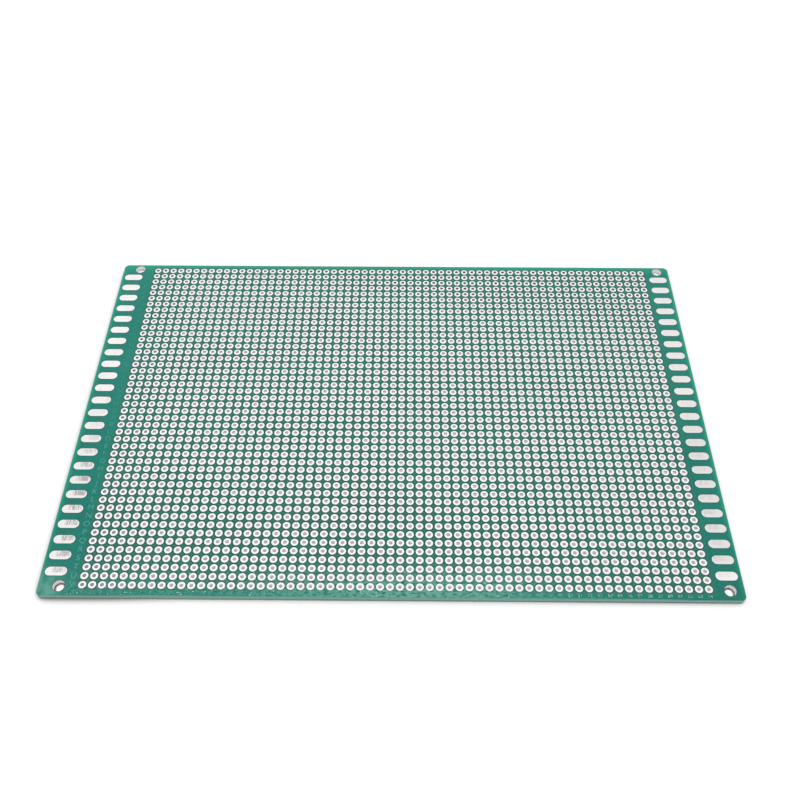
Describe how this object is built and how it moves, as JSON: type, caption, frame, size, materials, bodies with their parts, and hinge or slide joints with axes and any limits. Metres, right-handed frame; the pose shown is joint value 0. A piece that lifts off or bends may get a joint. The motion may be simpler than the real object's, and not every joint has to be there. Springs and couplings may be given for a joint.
{
  "type": "prototype circuit board",
  "caption": "Double-sided prototype circuit board: a green drilled laminate with a full grid of plated holes, oblong terminal pads along both short edges and a mounting hole in each corner.",
  "frame": {"origin": "under the middle of the rectangular outline, on the surface that the board lies on", "axes": "+X along the board's length towards the right short edge, +Y along its width towards the far long edge, +Z out of the component face"},
  "size_m": [0.1806, 0.12, 0.0018],
  "materials": {
    "laminate": "green solder resist over pale glass-epoxy, satin",
    "tinned_holes": "hot-air-levelled tin over copper, bright with a slight dome",
    "tinned_terminals": "hot-air-levelled tin over copper, slightly streaked"
  },
  "bodies": {
    "root": {"substrate": "laminate", "plated_row_01": "tinned_holes", "plated_row_02": "tinned_holes", "plated_row_03": "tinned_holes", "plated_row_04": "tinned_holes", "plated_row_05": "tinned_holes", "plated_row_06": "tinned_holes", "plated_row_07": "tinned_holes", "plated_row_08": "tinned_holes", "plated_row_09": "tinned_holes", "plated_row_10": "tinned_holes", "plated_row_11": "tinned_holes", "plated_row_12": "tinned_holes", "plated_row_13": "tinned_holes", "plated_row_14": "tinned_holes", "plated_row_15": "tinned_holes", "plated_row_16": "tinned_holes", "plated_row_17": "tinned_holes", "plated_row_18": "tinned_holes", "plated_row_19": "tinned_holes", "plated_row_20": "tinned_holes", "plated_row_21": "tinned_holes", "plated_row_22": "tinned_holes", "plated_row_23": "tinned_holes", "plated_row_24": "tinned_holes", "plated_row_25": "tinned_holes", "plated_row_26": "tinned_holes", "plated_row_27": "tinned_holes", "plated_row_28": "tinned_holes", "plated_row_29": "tinned_holes", "plated_row_30": "tinned_holes", "plated_row_31": "tinned_holes", "plated_row_32": "tinned_holes", "plated_row_33": "tinned_holes", "plated_row_34": "tinned_holes", "plated_row_35": "tinned_holes", "plated_row_36": "tinned_holes", "plated_row_37": "tinned_holes", "plated_row_38": "tinned_holes", "plated_row_39": "tinned_holes", "plated_row_40": "tinned_holes", "plated_row_41": "tinned_holes", "plated_row_42": "tinned_holes", "plated_row_43": "tinned_holes", "plated_row_44": "tinned_holes", "plated_row_45": "tinned_holes", "plated_row_46": "tinned_holes", "terminals_top_left": "tinned_terminals", "terminals_top_right": "tinned_terminals", "terminals_under_left": "tinned_terminals", "terminals_under_right": "tinned_terminals"}
  },
  "joints": []
}
